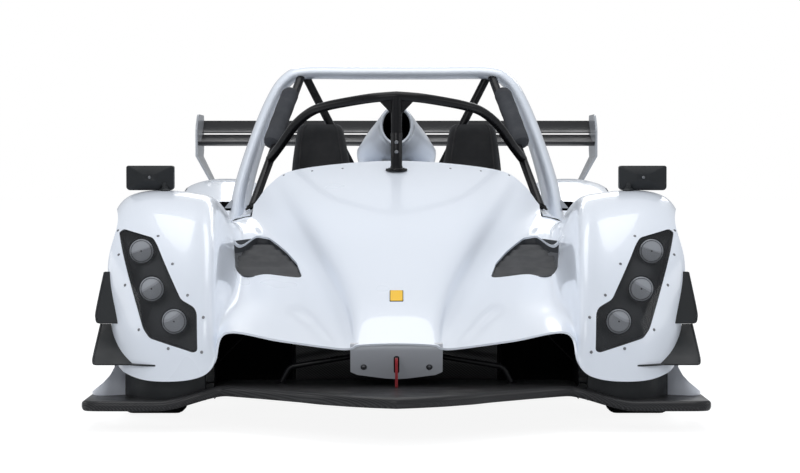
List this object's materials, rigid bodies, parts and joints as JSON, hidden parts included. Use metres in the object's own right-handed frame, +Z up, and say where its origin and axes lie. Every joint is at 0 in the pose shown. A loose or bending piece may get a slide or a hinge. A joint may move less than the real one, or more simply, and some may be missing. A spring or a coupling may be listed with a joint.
{
  "type": "sports prototype race car",
  "caption": "Open-cockpit two-seat sports prototype race car with turning wheels, steering front axle, splitter, roll hoop fairing and rear wing.",
  "frame": {"origin": "on the ground, midway along and across the car's overall box", "axes": "+Z up, -Y the way the car faces, +X its left side"},
  "size_m": [1.79, 4.12, 1.1179],
  "materials": {
    "body_white": "gloss",
    "carbon_weave": "gloss",
    "tube_black": "satin",
    "foam_grey": "matte",
    "seat_black": "matte",
    "lamp_cover": "gloss",
    "lamp_lens": "gloss",
    "louvre_grey": "satin",
    "black_plastic": "satin",
    "plate_grey": "satin",
    "strap_red": "matte",
    "machined_metal": "machined",
    "cast_grey": "cast",
    "exhaust_steel": "heat stained",
    "lamp_red": "gloss",
    "grip_black": "matte",
    "tyre_rubber": "matte",
    "rim_dark": "satin"
  },
  "bodies": {
    "chassis": {"tub": "carbon_weave", "floor": "carbon_weave", "splitter": "carbon_weave", "diffuser": "carbon_weave", "front_deck": "body_white", "front_wing_left": "body_white", "front_wing_right": "body_white", "nose_panel": "body_white", "nose_vents": "louvre_grey", "side_pods": "body_white", "rear_deck": "body_white", "rear_wing_left": "body_white", "rear_wing_right": "body_white", "air_scoop": "body_white", "hoop_fairing": "body_white", "roll_cage": "tube_black", "front_cage": "tube_black", "cage_pads": "foam_grey", "headlamp_covers": "lamp_cover", "headlamps": "lamp_lens", "mirrors": "black_plastic", "dive_planes": "black_plastic", "seats": "seat_black", "dash": "carbon_weave", "wing_main": "carbon_weave", "wing_flap": "carbon_weave", "wing_endplates": "plate_grey", "wing_pylons": "machined_metal", "tow_strap": "strap_red", "radiators": "machined_metal", "front_wishbones": "tube_black", "rear_wishbones": "tube_black", "rear_uprights": "machined_metal", "engine": "cast_grey", "gearbox": "cast_grey", "exhaust": "exhaust_steel", "tail_panel": "carbon_weave", "tail_lamps": "lamp_red", "tow_eye": "strap_red", "rack_housing": "machined_metal"},
    "steering": {"steering_wheel": "grip_black", "steering_column": "machined_metal"},
    "rack": {"steering_rack": "machined_metal"},
    "left_knuckle": {"knuckle_left": "machined_metal"},
    "right_knuckle": {"knuckle_right": "machined_metal"},
    "front_left_wheel": {"tyre_front_left": "tyre_rubber", "rim_front_left": "rim_dark"},
    "front_right_wheel": {"tyre_front_right": "tyre_rubber", "rim_front_right": "rim_dark"},
    "rear_left_wheel": {"tyre_rear_left": "tyre_rubber", "rim_rear_left": "rim_dark", "drive_shaft_left": "machined_metal"},
    "rear_right_wheel": {"tyre_rear_right": "tyre_rubber", "rim_rear_right": "rim_dark", "drive_shaft_right": "machined_metal"}
  },
  "joints": [
    {"name": "steer_left", "type": "hinge", "parent": "chassis", "child": "left_knuckle", "pos_m": [0.672, -1.16, 0.29], "axis": [0, 0, 1], "range_deg": [-16, 16]},
    {"name": "steer_right", "type": "hinge", "parent": "chassis", "child": "right_knuckle", "pos_m": [-0.672, -1.16, 0.29], "axis": [0, 0, 1], "range_deg": [-16, 16]},
    {"name": "steering_wheel_turn", "type": "hinge", "parent": "chassis", "child": "steering", "pos_m": [-0.256, -0.36, 0.6], "axis": [0, 0.8969, 0.4422], "range_deg": [-144, 144]},
    {"name": "rack_travel", "type": "slide", "parent": "chassis", "child": "rack", "axis": [1, 0, 0], "range_m": [-0.0312, 0.0312]},
    {"name": "spin_front_left", "type": "hinge", "parent": "left_knuckle", "child": "front_left_wheel", "pos_m": [0.735, -1.16, 0.29], "axis": [1, 0, 0], "continuous": true},
    {"name": "spin_front_right", "type": "hinge", "parent": "right_knuckle", "child": "front_right_wheel", "pos_m": [-0.735, -1.16, 0.29], "axis": [1, 0, 0], "continuous": true},
    {"name": "spin_rear_left", "type": "hinge", "parent": "chassis", "child": "rear_left_wheel", "pos_m": [0.735, 1.22, 0.31], "axis": [1, 0, 0], "continuous": true},
    {"name": "spin_rear_right", "type": "hinge", "parent": "chassis", "child": "rear_right_wheel", "pos_m": [-0.735, 1.22, 0.31], "axis": [1, 0, 0], "continuous": true}
  ],
  "couplings": [
    {"joint": "steer_right", "follows": "steer_left", "ratio": 1},
    {"joint": "steering_wheel_turn", "follows": "steer_left", "ratio": 9},
    {"joint": "rack_travel", "follows": "steer_left", "m_per_rad": -0.11}
  ]
}
